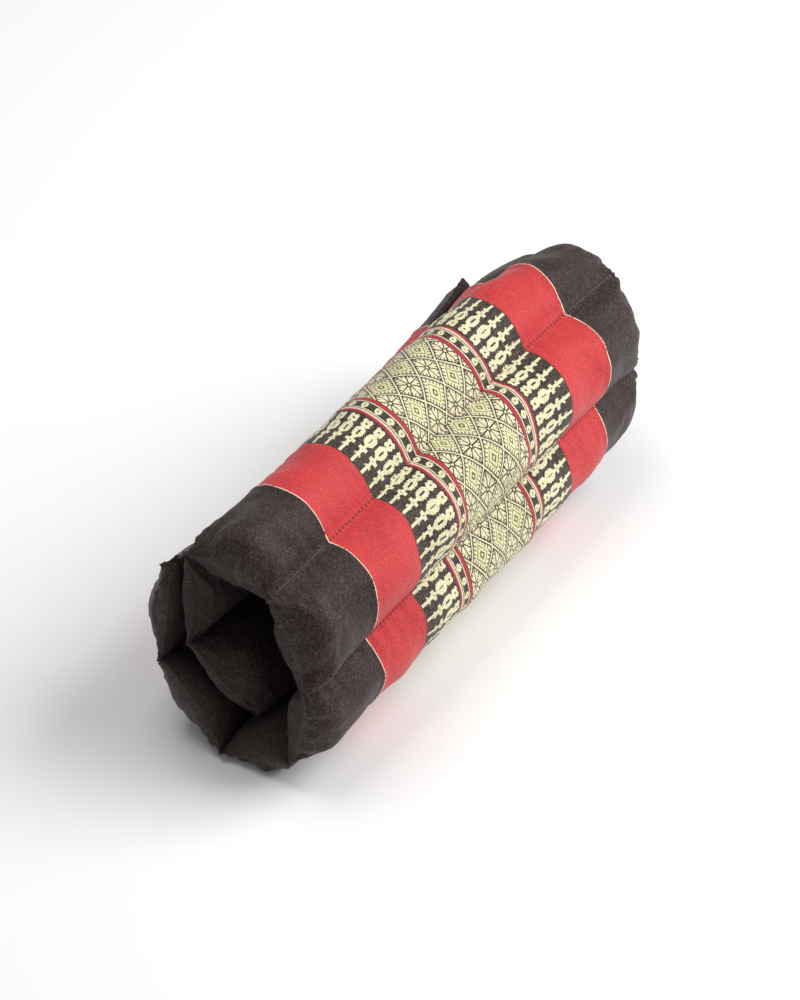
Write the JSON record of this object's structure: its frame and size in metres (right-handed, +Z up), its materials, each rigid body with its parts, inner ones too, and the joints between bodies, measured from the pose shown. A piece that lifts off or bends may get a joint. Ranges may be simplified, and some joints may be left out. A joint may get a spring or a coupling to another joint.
{
  "type": "rolled quilted meditation mat",
  "caption": "Quilted cotton meditation mat with stuffed channels, rolled up around an open middle, with a woven patterned centre, plain end panels and thin piping.",
  "frame": {"origin": "middle of the bounding box on the surface that the roll lies on", "axes": "+X along the roll towards the near end, +Y to the right seen from the near end, +Z up"},
  "size_m": [0.549, 0.2014, 0.2138],
  "materials": {
    "cover": "matte charcoal cotton twill with a woven middle in red, charcoal and cream",
    "piping": "matte cream cotton strip"
  },
  "bodies": {
    "root": {"mat": "cover", "piping_near": "piping", "piping_far": "piping"}
  },
  "joints": []
}
